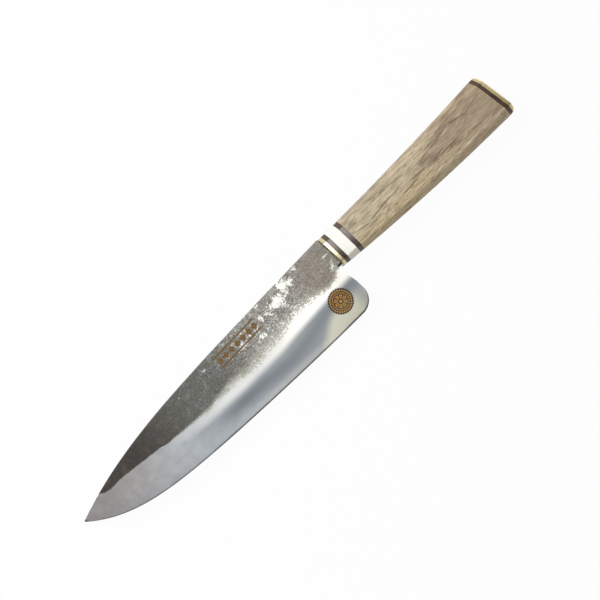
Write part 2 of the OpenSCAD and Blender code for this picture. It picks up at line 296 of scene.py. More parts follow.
def carve(piece, cutter):
    """Cuts the cutter out of the piece and removes the cutter."""
    cut = piece.modifiers.new("cut", "BOOLEAN")
    cut.operation = "DIFFERENCE"
    cut.solver = "EXACT"
    cut.object = cutter
    made = bpy.data.meshes.new_from_object(
        piece.evaluated_get(bpy.context.evaluated_depsgraph_get()))
    piece.modifiers.clear()
    piece.data = made
    made.name = piece.name
    bpy.data.objects.remove(cutter)
    settle(piece)


def prism(name, outline, low, high):
    """A plan outline drawn out along z."""
    return loft(name, [[(x, y, z) for x, y in outline] for z in (low, high)])


def bar(name, x0, x1, diameter, y=0.0, sides=64):
    """A round bar along the handle."""
    r = diameter / 2
    turns = [2 * math.pi * k / sides for k in range(sides)]
    return loft(name, [[(x, y + r * math.cos(t), r * math.sin(t)) for t in turns] for x in (x0, x1)])


def dress(piece, material, node):
    """Gives a piece its material and body, and hides the node that it stands for."""
    piece.data.materials.clear()
    piece.data.materials.append(material)
    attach(piece, BODY)
    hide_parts(node)


# Blade

def to_point(x):
    """The share of the way from the handle to the point."""
    return -np.minimum(x, 0) / BLADE_LEN


def spine_y(x):
    return SPINE_Y - SPINE_DROP * to_point(x) ** SPINE_BEND


def edge_y(x):
    s = to_point(x)
    return EDGE_Y + EDGE_SWEEP * s ** SWEEP_BEND + POINT_RISE * s ** POINT_BEND


def low_y(x):
    """The blade's lower outline: its edge, then the rounded heel."""
    start = -HEEL_GAP - HEEL_R
    over = np.clip(x - start, 0, HEEL_R)
    rise = HEEL_R - np.sqrt(HEEL_R ** 2 - over ** 2)
    return edge_y(np.minimum(x, start)) + rise


def grind_y(x):
    """The line where the polished bevel begins, with its slow waver."""
    return np.interp(x, GRIND_X, GRIND_Y) + 0.25 * noise(x, 0 * x, 5, 11) * smooth_step(-180, -150, x)


def roughness_along(x):
    """How strongly the forged skin is textured: smooth near the point, roughest before the handle."""
    return 0.04 + 0.96 * smooth_step(-155, -62, x) - 0.56 * smooth_step(-36, -14, x)


def unevenness(x, y, layers):
    return sum(height * noise(x, y, width, seed) for height, width, seed in layers)


def forged_height(x, y, side):
    """How far the forged skin stands out or in, from the hammer and the scale."""
    y = y + SIDE_SHIFT * side
    hammer = unevenness(x, y, HAMMER) * (0.15 + 0.85 * smooth_step(-150, -95, x))
    return hammer + unevenness(x, y, SCALE) * roughness_along(x)


def spine_nick(x):
    """The spine's unevenness from the forge, always inward."""
    amount = (0.15 + 0.85 * smooth_step(-160, -100, x)) * (x < -1.5)
    return amount * (NICK_DEPTH + unevenness(x, 0 * x, NICKS))


def bevel_half(x, y):
    """Half the blade's thickness where the bevel is ground, a little convex."""
    top, low = grind_y(x), edge_y(x)
    share = np.maximum((y - low) / np.maximum(top - low, 0.5), 0)
    at_edge = EDGE_HALF * (1 - EDGE_LOSS * to_point(x))
    return at_edge + (skin_half(x, top) - EDGE_HALF) * share ** BEVEL_POWER


def skin_half(x, y):
    """Half the blade's thickness under the forged skin, before its roughness."""
    s = to_point(x)
    spine = (SPINE_T - (SPINE_T - POINT_T) * s) / 2
    shoulder = (SHOULDER_T - (SHOULDER_T - POINT_T) * s) / 2
    share = (spine_y(x) - y) / np.maximum(spine_y(x) - grind_y(x), 0.5)
    return spine + (shoulder - spine) * np.clip(share, 0, 2)


def surface_half(x, y, side):
    """Half thickness of the finished blade and how deep the grinding cut into the skin."""
    skin = skin_half(x, y) + forged_height(x, y, side)
    ground = bevel_half(x, y) + 0.004 * noise(x, y + SIDE_SHIFT * side, 18, 5)
    return np.minimum(skin, ground), skin - ground


def blade_rows():
    """The rows that run along the blade: their share of its height, counted down from the
    spine, and where each ends at the handle. They part at the notch behind the heel."""
    y = np.concatenate((
        SPINE_Y - SPINE_EASE * np.array((0, 0.25, 0.55)),
        np.linspace(SPINE_Y - SPINE_EASE, TANG_FRONT_HALF, 12)[:-1],
        np.linspace(TANG_FRONT_HALF, -TANG_FRONT_HALF, 23),
        np.linspace(-TANG_FRONT_HALF, NECK_Y, 6)[1:],
        np.linspace(NECK_Y - 0.05, NOTCH_Y, 5),
        np.linspace(NOTCH_Y, CHOIL_Y, 23)[1:]))
    slope = (NOTCH_X + HEEL_GAP) / (CHOIL_Y - NOTCH_Y)
    ends = np.where(y >= NECK_Y, 0.0, np.where(y >= NOTCH_Y, NOTCH_X, NOTCH_X - slope * (y - NOTCH_Y)))
    return (SPINE_Y - y) / (SPINE_Y - EDGE_Y), ends


def blade_columns():
    """Places along the blade up to the heel, then shares of the way from there to each row's end."""
    near_point = -BLADE_LEN + np.array((0, 0.1, 0.25, 0.45, 0.7))
    along = np.concatenate((near_point, np.arange(1 - BLADE_LEN, HEEL_ZONE, COLUMN_STEP)))
    turn = np.linspace(0, math.pi / 2, 22)
    arc = -HEEL_GAP - HEEL_R + HEEL_R * np.sin(turn)
    return along, (arc - HEEL_ZONE) / (-HEEL_GAP - HEEL_ZONE)


def column(x_rows, x_low, shares):
    """One closed loop round the blade: down the near side, up the far side and over the spine."""
    nick = spine_nick(x_rows)
    high = spine_y(x_rows) - nick
    height = high - edge_y(x_rows)
    y = high - shares * height
    x_below = np.linspace(x_rows[-1], x_low, LOW_ROWS + 1)[1:]
    low = float(low_y(x_low))
    micro = min(MICRO_BEVEL, 0.1 * (y[-1] - low))
    y_below = np.append(np.linspace(y[-1], low + micro, LOW_ROWS)[1:], low)
    x = np.concatenate((x_rows, x_below))
    y = np.concatenate((y, y_below))
    ease = SPINE_EASE / (SPINE_Y - EDGE_Y) * height[0]
    inner = np.minimum(high[0] - y, ease)
    keen = 1 - smooth_step(-HEEL_GAP - HEEL_R, -HEEL_GAP - HEEL_R * 0.4, x_low)
    sides = []
    for side in (1, -1):
        half, _ = surface_half(x, y, side)
        soft = min(ease, 0.5 * half[0])
        half = half - soft * (1 - np.sqrt(1 - (1 - inner / ease) ** 2))
        half[-1] = half[-1] * (1 - keen) + KEEN_HALF * keen
        sides.append(np.stack((x, y, side * half), 1))
    near, far = sides
    share = np.linspace(0, 1, TOP_STEPS + 1)[1:-1, None]
    top = far[0] * (1 - share) + near[0] * share
    return np.concatenate((near, far[::-1], top))


def blade_mesh():
    """The whole forging: blade, neck and tang, as one closed surface."""
    shares, ends = blade_rows()
    along, fractions = blade_columns()
    rings = [column(np.full_like(ends, x), x, shares) for x in along]
    for c in fractions:
        x_rows, x_low = (HEEL_ZONE + (end - HEEL_ZONE) * c for end in (ends, -HEEL_GAP))
        rings.append(column(x_rows, x_low, shares))
    rings = np.array(rings)
    count, around = rings.shape[:2]
    rows = (around - TOP_STEPS + 1) // 2
    faces = [tuple(range(around))] + ring_faces(count, around)
    # The end wall, with the tang standing on its middle
    last = (count - 1) * around
    near = [last + k for k in range(rows)]
    far = [last + 2 * rows - 1 - k for k in range(rows)]
    top = [last + 2 * rows + k for k in range(TOP_STEPS - 1)]
    verts = list(rings.reshape(-1, 3))
    y_end = rings[-1][:rows, 1]
    tang_rows = [k for k in range(rows) if abs(y_end[k]) < TANG_FRONT_HALF + 0.01]
    first, final = tang_rows[0], tang_rows[-1]
    loops = []
    for x in np.linspace(0, TANG_LEN, 12):
        shrink = 1 + (TANG_END_HALF / TANG_FRONT_HALF - 1) * x / TANG_LEN
        start = len(verts)
        for z in (TANG_HALF_T, -TANG_HALF_T):
            for k in tang_rows if z > 0 else tang_rows[::-1]:
                verts.append(np.array((x, y_end[k] * shrink, z)))
        loops.append(range(start, len(verts)))
    near_in = dict(zip(tang_rows, loops[0][:len(tang_rows)]))
    far_in = dict(zip(tang_rows[::-1], loops[0][len(tang_rows):]))
    faces.append((near[1], near[0], *reversed(top), far[0], far[1]))
    for k in range(1, rows - 1):
        n = k + 1
        if first <= k < final:
            faces += [(near[k], near_in[k], near_in[n], near[n]), (far[k], far[n], far_in[n], far_in[k])]
        elif n == first:
            faces.append((near[k], far[k], far[n], far_in[n], near_in[n], near[n]))
        elif k == final:
            faces.append((near[k], near_in[k], far_in[k], far[k], far[n], near[n]))
        else:
            faces.append((near[k], far[k], far[n], near[n]))
    for here, there in zip(loops, loops[1:]):
        size = len(here)
        faces += [(here[k], there[k], there[(k + 1) % size], here[(k + 1) % size]) for k in range(size)]
    faces.append(tuple(loops[-1]))
    return finish_mesh("blade_piece", verts, faces, sharp=50)


def add_field(mesh, name, values):
    layer = mesh.attributes.new(name, "FLOAT", "POINT")
    layer.data.foreach_set("value", np.asarray(values, np.float32))


def patches_at(x, y, patches):
    return sum(amount * bump_at(x, px, rx) * bump_at(y, py, ry) for px, py, rx, ry, amount in patches)


def blade_fields(mesh):
    """Writes to the blade's points what its steel looks like there."""
    co = np.empty(len(mesh.vertices) * 3, np.float32)
    mesh.vertices.foreach_get("co", co)
    x, y, z = ((co.reshape(-1, 3) - np.array(ORIGIN)) / MM).T.astype(float)
    side = np.where(z >= 0, 1, -1)
    _, cut = surface_half(x, y, side)
    gleam_low = np.interp(x, GLEAM_X, GLEAM_Y)
    above_edge = y - low_y(x)
    # A dark line along the cutting edge and a dark spot at the point: painted shade
    keen_height = 0.85 + 0.5 * smooth_step(-32, -20, x)
    keen = (1 - smooth_step(0.3, keen_height, above_edge)) * (0.3 + 0.7 * smooth_step(-135, -118, x))
    from_heel = smooth_step(-46, -34, x - 1.5 * (y + 34))
    fields = {
        "cut": cut,
        "height": forged_height(x, y, side) / 0.08,
        "rough": roughness_along(x),
        "brown": 1 - smooth_step(-166, -104, x),
        "pale": smooth_step(-104, -52, x),
        "ruddy": smooth_step(-42, -18, x) * (1 - 0.5 * smooth_step(-10, -2, x)),
        "silver": patches_at(x, y, BARE_PATCHES),
        "soot": patches_at(x, y, SOOT_PATCHES),
        # The bevel's bright upper band and the sheen over the edge: painted reflections
        "gleam": (np.interp(x, GLEAM_AT, GLEAM_AMOUNT) * smooth_step(-2.2, 2.6, y - gleam_low)
                  + np.interp(x, SHEEN_AT, SHEEN_AMOUNT) * smooth_step(6.2, 1.6, above_edge)),
        # A darker band below the bright one: a painted reflection of dark surroundings
        "dark_reflection": np.interp(x, DARK_REFLECTION_X, DARK_REFLECTION_AMOUNT) * bump_at(y, np.interp(x, DARK_REFLECTION_X, DARK_REFLECTION_Y), 4.6),
        # A warm patch near the heel: a painted reflection
        "warm_reflection": from_heel * smooth_step(-21, -29, y) * (1 - 0.7 * smooth_step(-12, -3, x)),
        # The bevel is painted darker towards the handle, as shade
        "shade": smooth_step(-128, -28, x),
        "worn": 1 - smooth_step(0, np.interp(x, WORN_AT, WORN_WIDTH), y - grind_y(x)),
        "mauve": (1 - smooth_step(-182, -128, x)) * (1 - 0.35 * smooth_step(-9, -19, y)),
        "keen": np.maximum(keen, 0.85 * (1 - smooth_step(-209.6, -208.2, x))),
        # The neck's lowest corner over the notch is painted near black, as shade
        "notch_shade": smooth_step(-6.6, -7.4, y) * smooth_step(-3.1, -2.1, x) * smooth_step(-9.3, -8.7, y),
    }
    for name, values in fields.items():
        add_field(mesh, name, values)


def make_blade():
    blade = blade_mesh()
    blade_fields(blade.data)
    dress(blade, steel(), "blade")


# Handle

def bow(x):
    """0 at both ends of the handle and 1 halfway."""
    return 4 * (x / HANDLE_LEN) * (1 - x / HANDLE_LEN)


def along_handle(ends, x):
    """A size that changes evenly from the front to the butt."""
    front, butt = ends
    return front + (butt - front) * x / HANDLE_LEN


def butt_cut(x, r):
    """How much the butt's rounded corner takes off at x."""
    near = np.clip(x - (HANDLE_LEN - r), 0, r)
    return r - np.sqrt(r * r - near * near)


def corner_points(x, slant, inset):
    """The octagon's eight corners where the handle is cut at x by a plane with that slant."""
    places = np.full(8, float(x))
    up_cut, down_cut = butt_cut(x, BUTT_R_UP), butt_cut(x, BUTT_R_DOWN)
    for _ in range(4):
        up = along_handle(BACK, places) - DIP * bow(places) - inset - up_cut
        down = along_handle(BELLY, places) + SWELL * bow(places) - inset - down_cut
        half = along_handle(HALF_T, places) - inset
        facet = along_handle(FACET, places) - FACET_LOSS * inset
        up_f, down_f = facet - up_cut, facet - down_cut
        y = np.array((up[0], up[1] - up_f[1], down_f[2] - down[2], -down[3],
                      -down[4], down_f[5] - down[5], up[6] - up_f[6], up[7]))
        z = np.array((half[0] - up_f[0], half[1], half[2], half[3] - down_f[3],
                      down_f[4] - half[4], -half[5], -half[6], up_f[7] - half[7]))
        places = x - y * slant
    return np.stack((places, y, z), 1)


def handle_ring(x, slant, inset=0.0):
    """The handle's section at x: an octagon with rounded corners and slightly crowned faces."""
    corners = corner_points(x, slant, inset + CROWN)
    faces = np.roll(corners, -1, 0) - corners
    lengths = np.linalg.norm(faces, axis=1)
    ways = faces / lengths[:, None]
    pulls = [min(CORNER_R * math.tan(math.pi / 8), CORNER_SHARE * min(lengths[k - 1], lengths[k]))
             for k in range(8)]
    points = []
    for k in range(8):
        here, way, after = corners[k], ways[k], (k + 1) % 8
        start, stop = here - ways[k - 1] * pulls[k], here + way * pulls[k]
        for t in np.linspace(0, 1, 5):
            points.append((1 - t) ** 2 * start + 2 * t * (1 - t) * here + t * t * stop)
        end = corners[after] - way * pulls[after]
        out = np.array((0, way[2], -way[1]))
        if np.dot(out, here - corners.mean(0)) < 0:
            out = -out
        # The second face is a broad one, and has the whole crown
        bulge = CROWN * (lengths[k] / lengths[1]) ** 2
        for t in np.arange(1, FACE_STEPS[k]) / FACE_STEPS[k]:
            points.append(stop + (end - stop) * t + out * bulge * 4 * t * (1 - t))
    return np.array(points)


def quarter(r, steps=3):
    """Steps along a rounded rim, as (distance from the end, inset)."""
    return [(r * (1 - math.cos(a)), r * (1 - math.sin(a)))
            for a in np.linspace(0, math.pi / 2, steps + 1)]


def slice_of_handle(name, x0, x1, slant0=0.0, slant1=0.0, rim0=SEAM_R, rim1=SEAM_R):
    """One layer of the handle, whole, with both its rims eased."""
    places = [(x0 + d, inset) for d, inset in quarter(rim0)]
    inner = np.linspace(x0 + rim0 + RIM_GUARD, x1 - rim1 - RIM_GUARD, max(3, int((x1 - x0) / SECTION_STEP)))
    places += [(x, 0.0) for x in inner]
    places += [(x1 - d, inset) for d, inset in reversed(quarter(rim1))]
    rings = []
    for x, inset in places:
        slant = slant0 + (slant1 - slant0) * (x - x0) / (x1 - x0)
        rings.append(handle_ring(x, slant, inset))
    return loft(name, rings)


def pin_bars(piece, front, back):
    """Bores the holes of the two butt pins, which stand square on the slanted butt."""
    turn = Matrix.Rotation(BUTT_ANGLE, 3, "Z")
    for y in PIN_PLACES:
        cutter = bar("hole", front, back, PIN_D, y)
        for v in cutter.data.vertices:
            turned = turn @ ((v.co - ORIGIN) / MM) + Vector((BUTT_SPACER_X, 0, 0))
            v.co = turned * MM + ORIGIN
        carve(piece, cutter)


def make_front_stack():
    gold, dark, white = brass(), dark_wood("dark_spacer_wood", 0.85), bone_white()
    plate = slice_of_handle("front_plate_piece", PLATE_X, FRONT_SPACER_X, rim0=PLATE_RIM)
    front, back = PLATE_X - PAST, FRONT_SPACER_X + PAST
    high, deep = TANG_FRONT_HALF + SLOT_ROOM, TANG_HALF_T + SLOT_ROOM
    slot = ((front, -high), (back, -high), (back, high), (front, high))
    carve(plate, prism("slot", slot, -deep, deep))
    dress(plate, gold, "front_plate")
    for name, x0, x1, material, slot_name in (
            ("front_spacer", FRONT_SPACER_X, COLLAR_X, dark, "dark_wood"),
            ("collar", COLLAR_X, REAR_SPACER_X, white, "white_collar"),
            ("rear_spacer", REAR_SPACER_X, BODY_X, dark, "dark_wood")):
        ring = slice_of_handle(name + "_piece", x0, x1)
        carve(ring, bar("bore", x0 - PAST, x1 + PAST, BORE_D))
        dress(ring, material, name)


def make_handle_body():
    body = slice_of_handle("handle_body_piece", BODY_X, BUTT_SPACER_X, 0.0, BUTT_SLANT)
    carve(body, bar("bore", BODY_X - PAST, BORE_END, BORE_D))
    pin_bars(body, *HOLE_IN_BODY)
    dress(body, walnut(), "handle_body")


def make_butt():
    slants = (BUTT_SLANT, BUTT_SLANT)
    spacer = slice_of_handle("butt_spacer_piece", BUTT_SPACER_X, BUTT_PLATE_X, *slants)
    pin_bars(spacer, *HOLE_IN_SPACER)
    dress(spacer, dark_wood("dark_butt_wood", 0.5), "butt_spacer")
    plate = slice_of_handle("butt_plate_piece", BUTT_PLATE_X, HANDLE_LEN, *slants, rim1=BUTT_RIM)
    pin_bars(plate, *HOLE_IN_PLATE)
    dress(plate, brass(), "butt_plate")


# Materials

def add_node(tree, kind, *values, **settings):
    """A node with its settings, and its first inputs linked or set in order."""
    made = tree.nodes.new(kind)
    for key, value in settings.items():
        setattr(made, key, value)
    for socket, value in zip(made.inputs, values):
        give(socket, value)
    return made


def give(socket, value):
    """Links an output to a socket, or writes a plain value there."""
    if isinstance(value, bpy.types.NodeSocket):
        socket.id_data.links.new(value, socket)
    else:
        socket.default_value = value


class Shader:
    """Short names for the nodes of one material."""

    def __init__(self, name):
        self.material = bpy.data.materials.get(name) or bpy.data.materials.new(name)
        self.material.use_nodes = True
        self.tree = self.material.node_tree
        self.tree.nodes.clear()
        self.bsdf = self.node("ShaderNodeBsdfPrincipled")
        self.node("ShaderNodeOutputMaterial", self.bsdf.outputs["BSDF"])
        here = self.node("ShaderNodeTexCoord").outputs["Object"]
        moved = self.node("ShaderNodeVectorMath", here, ORIGIN, operation="SUBTRACT").outputs[0]
        scaled = self.node("ShaderNodeVectorMath", moved, operation="SCALE")
        scaled.inputs["Scale"].default_value = 1 / MM
        # The point in the knife's own millimetres
        self.place = scaled.outputs[0]

    def node(self, kind, *values, **settings):
        return add_node(self.tree, kind, *values, **settings)

    def set(self, name, value):
        give(self.bsdf.inputs[name], value)

    def math(self, operation, *values, clamp=False):
        return self.node("ShaderNodeMath", *values, operation=operation, use_clamp=clamp).outputs[0]

    def times(self, a, b, clamp=False):
        return self.math("MULTIPLY", a, b, clamp=clamp)

    def plus(self, a, b):
        return self.math("ADD", a, b)

    def minus(self, a, b, clamp=False):
        return self.math("SUBTRACT", a, b, clamp=clamp)

    def larger(self, a, b):
        return self.math("MAXIMUM", a, b)

    def absolute(self, a):
        return self.math("ABSOLUTE", a)

    def length(self, a, b):
        """Of the way that goes a in one direction and b square to it."""
        return self.math("SQRT", self.plus(self.times(a, a), self.times(b, b)))

    def mix(self, factor, a, b):
        made = self.node("ShaderNodeMix", factor, data_type="RGBA")
        give(made.inputs[6], a)
        give(made.inputs[7], b)
        return made.outputs[2]

    def tint(self, colour, mask, amount, target):
        """The colour, pulled towards the target by the product of mask and amount."""
        return self.mix(self.times(mask, amount), colour, target)

    def blend(self, factor, a, b):
        """Between two numbers."""
        made = self.node("ShaderNodeMix", factor, data_type="FLOAT")
        give(made.inputs[2], a)
        give(made.inputs[3], b)
        return made.outputs[0]

    def step(self, value, low, high):
        """0 below low and 1 above high, smooth between."""
        return self.node("ShaderNodeMapRange", value, low, high, interpolation_type="SMOOTHSTEP").outputs[0]

    def hump(self, value, a, b, c, d):
        """Rises from 0 to 1 between a and b, and falls back between c and d."""
        return self.times(self.step(value, a, b), self.step(value, d, c))

    def field(self, name):
        return self.node("ShaderNodeAttribute", attribute_name=name).outputs["Fac"]

    def parts(self):
        return tuple(self.node("ShaderNodeSeparateXYZ", self.place).outputs)

    def noise(self, scale, detail=2.0, roughness=0.5, distortion=0.0, place=None):
        """Noise from 0 to 1, with scale features for each millimetre."""
        made = self.node("ShaderNodeTexNoise", place or self.place)
        made.inputs["Scale"].default_value = scale
        made.inputs["Detail"].default_value = detail
        made.inputs["Roughness"].default_value = roughness
        made.inputs["Distortion"].default_value = distortion
        return made.outputs["Fac"]

    def streaks(self, along, across, detail, roughness=0.5):
        """Noise with so many features for each millimetre along the knife, and so many across it."""
        factors = (along, across, across)
        drawn_out = self.node("ShaderNodeVectorMath", self.place, factors, operation="MULTIPLY").outputs[0]
        return self.noise(1.0, detail, roughness, place=drawn_out)

    def surface(self, colour, roughness, height, depth, strength):
        """Sets the colour, the roughness and a relief that is depth millimetres high."""
        self.set("Base Color", colour)
        self.set("Roughness", roughness)
        relief = self.node("ShaderNodeBump")
        relief.inputs["Strength"].default_value = strength
        relief.inputs["Distance"].default_value = depth * MM
        give(relief.inputs["Height"], height)
        self.set("Normal", relief.outputs["Normal"])
        return self.material


def etched_marks(sh, x, y, z):
    """Two generic ornaments etched on the near side: a petalled medallion and a lozenge border.
    Returns how much of the surface they cover and how light they are there."""
    near = sh.step(z, 0.0, 0.05)

    def band(value, low, high, soft=0.12):
        return sh.hump(value, low - soft, low + soft, high - soft, high + soft)

    def waves(count):
        return sh.absolute(sh.math("COSINE", sh.times(turn, count / 2)))

    # Medallion: scalloped rim, ring of beads, ring of rays, eight petals and an eye
    dx, dy = sh.minus(x, MEDALLION_X), sh.minus(y, MEDALLION_Y)
    far = sh.length(dx, dy)
    turn = sh.math("ARCTAN2", dy, dx)
    rim = sh.plus(7.45, sh.times(waves(32), 0.5))
    disk = sh.step(sh.minus(rim, far), -0.12, 0.12)
    beads = sh.times(band(far, 6.0, 6.75), sh.step(waves(28), 0.4, 0.6))
    rays = sh.times(band(far, 4.6, 5.35), sh.step(waves(32), 0.55, 0.8))
    petal = sh.times(band(far, 1.75, 3.9), sh.step(waves(8), 0.4, 0.55))
    vein = sh.times(band(far, 2.2, 3.4), sh.step(waves(8), 0.9, 0.95))
    petal = sh.minus(petal, vein, clamp=True)
    eye = sh.step(far, 1.0, 0.8)
    light = sh.larger(sh.larger(beads, rays), sh.larger(petal, eye))
    # Border: filled lozenges between two rules
    along = sh.math("DIVIDE", sh.minus(x, BORDER_X), BORDER_STEP)
    across = sh.absolute(sh.minus(y, BORDER_Y))
    inside = band(along, 0, BORDER_COUNT, 0.02)
    beat = sh.absolute(sh.minus(sh.math("FRACT", along), 0.5))
    lozenge = sh.plus(sh.times(beat, 2.0), sh.math("DIVIDE", across, LOZENGE_HALF))
    filled = sh.step(lozenge, 1.02, 0.92)
    rule = band(across, 3.0, 4.1, 0.08)
    border = sh.times(inside, sh.larger(filled, rule))
    light = sh.larger(light, sh.times(border, 0.26))
    cover = sh.times(near, sh.larger(disk, border), clamp=True)
    return cover, light


def steel():
    """Forged skin above, ground and polished bevel below, with etched ornaments."""
    sh = Shader("forged_steel")
    x, y, z = sh.parts()
    fine = sh.noise(2.0, 3.0, 0.7)
    grit = sh.noise(1.05, 3.0, 0.65)
    blotch = sh.noise(0.36, 3.0, 0.6)
    cloud = sh.noise(0.13, 3.0, 0.6)
    rough = sh.field("rough")
    grain = sh.plus(sh.times(fine, 0.4), sh.times(grit, 0.6))
    swing = sh.minus(grain, 0.5)
    spread = sh.math("POWER", rough, 0.65)
    # Where the neck's lowest corner over the notch is painted near black, as shade
    notch_shade = sh.field("notch_shade")
    winding = sh.noise(0.42, 1.5, distortion=1.6)
    thread = sh.step(sh.absolute(sh.minus(winding, 0.5)), 0.05, 0.0)
    ground = sh.plus(sh.field("cut"), sh.times(sh.times(swing, rough), 0.75))
    polished = sh.step(ground, sh.blend(rough, -0.006, -0.03), sh.blend(rough, 0.008, 0.05))
    polished = sh.times(polished, sh.minus(1.0, notch_shade))

    # Forged skin
    skin = sh.mix(sh.field("brown"), srgb(93, 94, 89), srgb(53, 47, 42))
    skin = sh.mix(sh.field("pale"), skin, srgb(150, 148, 140))
    skin = sh.mix(sh.field("ruddy"), skin, srgb(143, 131, 119))
    skin = sh.tint(skin, sh.field("soot"), sh.step(blotch, 0.35, 0.6), srgb(100, 98, 92))
    skin = sh.tint(skin, sh.step(cloud, 0.48, 0.66), 0.3, srgb(96, 86, 83))
    skin = sh.tint(skin, sh.step(cloud, 0.5, 0.34), sh.blend(rough, 0.05, 0.3), srgb(104, 118, 120))
    skin = sh.tint(skin, sh.step(blotch, 0.52, 0.66), sh.times(rough, 0.45), srgb(178, 178, 172))
    skin = sh.tint(skin, sh.step(blotch, 0.48, 0.36), sh.times(rough, 0.42), srgb(92, 93, 91))
    light_spots = sh.larger(sh.step(grain, 0.47, 0.68), sh.times(thread, 0.55))
    light = sh.mix(sh.field("pale"), srgb(148, 148, 140), srgb(204, 203, 196))
    skin = sh.tint(skin, light_spots, sh.blend(spread, 0.0, 0.82), light)
    dark = sh.mix(sh.field("pale"), srgb(58, 56, 53), srgb(92, 87, 80))
    skin = sh.tint(skin, sh.step(grain, 0.53, 0.36), sh.blend(spread, 0.02, 0.77), dark)
    skin = sh.tint(skin, sh.field("worn"), 0.58, srgb(206, 203, 189))
    pits = sh.step(sh.field("height"), 0.0, -0.7)
    skin = sh.tint(skin, pits, sh.times(rough, 0.25), srgb(66, 62, 60))
    ragged = sh.plus(sh.times(swing, 3.8), sh.times(sh.minus(blotch, 0.5), 2.4))
    rubbed = sh.plus(sh.field("silver"), sh.times(ragged, sh.blend(rough, 0.1, 1.0)))
    bare = sh.step(rubbed, 0.36, 1.0)
    skin = sh.mix(bare, skin, srgb(240, 239, 232))

    # Ground bevel
    bevel = sh.mix(sh.field("mauve"), srgb(161, 166, 171), srgb(144, 140, 139))
    smear = sh.streaks(0.035, 0.3, 3.0, 0.55)
    bevel = sh.tint(bevel, sh.step(smear, 0.52, 0.36), 0.13, srgb(124, 124, 128))
    bevel = sh.tint(bevel, sh.step(cloud, 0.4, 0.75), 0.14, srgb(205, 204, 202))
    bevel = sh.tint(bevel, sh.step(cloud, 0.5, 0.3), 0.12, srgb(120, 120, 124))
    # The bevel is painted darker towards the handle, as shade
    bevel = sh.mix(sh.field("shade"), bevel, srgb(150, 154, 157))
    # A darker band below the bright one: a painted reflection of dark surroundings
    bevel = sh.mix(sh.field("dark_reflection"), bevel, srgb(112, 118, 124))
    # The bevel's bright upper band and the sheen over the edge: painted reflections
    bevel = sh.mix(sh.field("gleam"), bevel, srgb(254, 253, 245))
    # A warm patch near the heel: a painted reflection
    bevel = sh.tint(bevel, sh.field("warm_reflection"), sh.blend(cloud, 0.8, 1.0), srgb(216, 213, 194))
    # The dark line along the cutting edge and the dark spot at the point are painted shade
    bevel = sh.mix(sh.field("keen"), bevel, srgb(50, 52, 54))

    cover, light = etched_marks(sh, x, y, z)
    etch = sh.mix(light, srgb(40, 25, 4), srgb(184, 134, 44))
    etch = sh.tint(etch, sh.step(grain, 0.45, 0.65), 0.22, srgb(132, 98, 44))
    colour = sh.mix(polished, skin, bevel)
    colour = sh.tint(colour, cover, 0.95, etch)
    # Painted shade: the neck's corner over the notch, near black
    colour = sh.mix(notch_shade, colour, srgb(24, 23, 21))
    metal = sh.blend(polished, sh.blend(bare, 0.5, 0.85), 0.95)
    plain = sh.minus(1.0, sh.larger(notch_shade, sh.times(cover, 0.85)))
    sh.set("Metallic", sh.times(metal, plain))
    gloss = sh.blend(polished, sh.blend(bare, 0.6, 0.42), sh.blend(fine, 0.26, 0.36))
    roughness = sh.blend(sh.larger(notch_shade, cover), gloss, 0.6)

    # Fine relief: scale on the skin, grinding marks square to the edge on the bevel
    marks = sh.streaks(6.0, 0.35, 3.0, 0.6)
    scale = sh.times(grain, sh.blend(rough, 0.3, 2.0))
    relief = sh.blend(polished, scale, sh.times(marks, 0.1))
    return sh.surface(colour, roughness, sh.minus(relief, sh.times(cover, 0.3)), 0.05, 0.9)


def brass():
    """Warm polished brass with fine sanding marks that run round the handle."""
    sh = Shader("polished_brass")
    x, y, _ = sh.parts()
    lines = sh.streaks(1.0, 0.12, 1.0, 0.4)
    cloud = sh.noise(0.3, 3.0, 0.6)
    colour = sh.mix(cloud, srgb(214, 203, 160), srgb(230, 221, 186))
    colour = sh.tint(colour, sh.step(lines, 0.45, 0.7), 0.15, srgb(186, 170, 112))
    # Towards the butt the brass is painted darker and deeper in colour, as shade
    colour = sh.tint(colour, sh.step(x, 60.0, 100.0), 0.5, srgb(184, 156, 92))
    # A painted highlight along the butt's rim, which stops short of the end face
    along = sh.plus(x, sh.times(y, BUTT_SLANT))
    rim = sh.hump(sh.minus(along, HANDLE_LEN), -1.2, -0.4, -0.12, -0.01)
    colour = sh.tint(colour, rim, 0.8, srgb(252, 238, 192))
    # The face against the blade is darkened by dirt, and by painted shade where it meets the blade
    dirt_and_corner_shade = sh.step(x, sh.blend(sh.step(y, 4.0, -4.0), 0.3, 0.8), 0.0)
    colour = sh.tint(colour, dirt_and_corner_shade, 0.8, srgb(92, 84, 36))
    sh.set("Metallic", 1.0)
    return sh.surface(colour, sh.blend(lines, 0.2, 0.27), lines, 0.003, 0.4)


def dark_wood(name, coat):
    """Dense, almost black-brown wood with close straight grain, polished as much as coat says."""
    sh = Shader(name)
    grain = sh.streaks(0.35, 2.4, 4.0, 0.62)
    cloud = sh.noise(0.12, 2.0)
    pores = sh.step(sh.streaks(0.8, 6.0, 2.0), 0.62, 0.72)
    colour = sh.mix(grain, srgb(38, 24, 10), srgb(90, 60, 33))
    colour = sh.tint(colour, cloud, 0.35, srgb(62, 40, 25))
    colour = sh.tint(colour, pores, 0.5, srgb(24, 15, 11))
    _, y, _ = sh.parts()
    # A band below the handle's middle is painted darker, as shade
    lower_shade = sh.hump(y, -9.0, -7.0, -5.0, -1.0)
    colour = sh.tint(colour, lower_shade, 0.65, srgb(28, 17, 8))
    sh.set("Specular IOR Level", 0.15)
    sh.set("Coat Weight", coat)
    sh.set("Coat IOR", 1.7)
    sh.set("Coat Roughness", 0.2)
    return sh.surface(colour, sh.blend(grain, 0.3, 0.42), sh.minus(grain, pores), 0.02, 0.5)


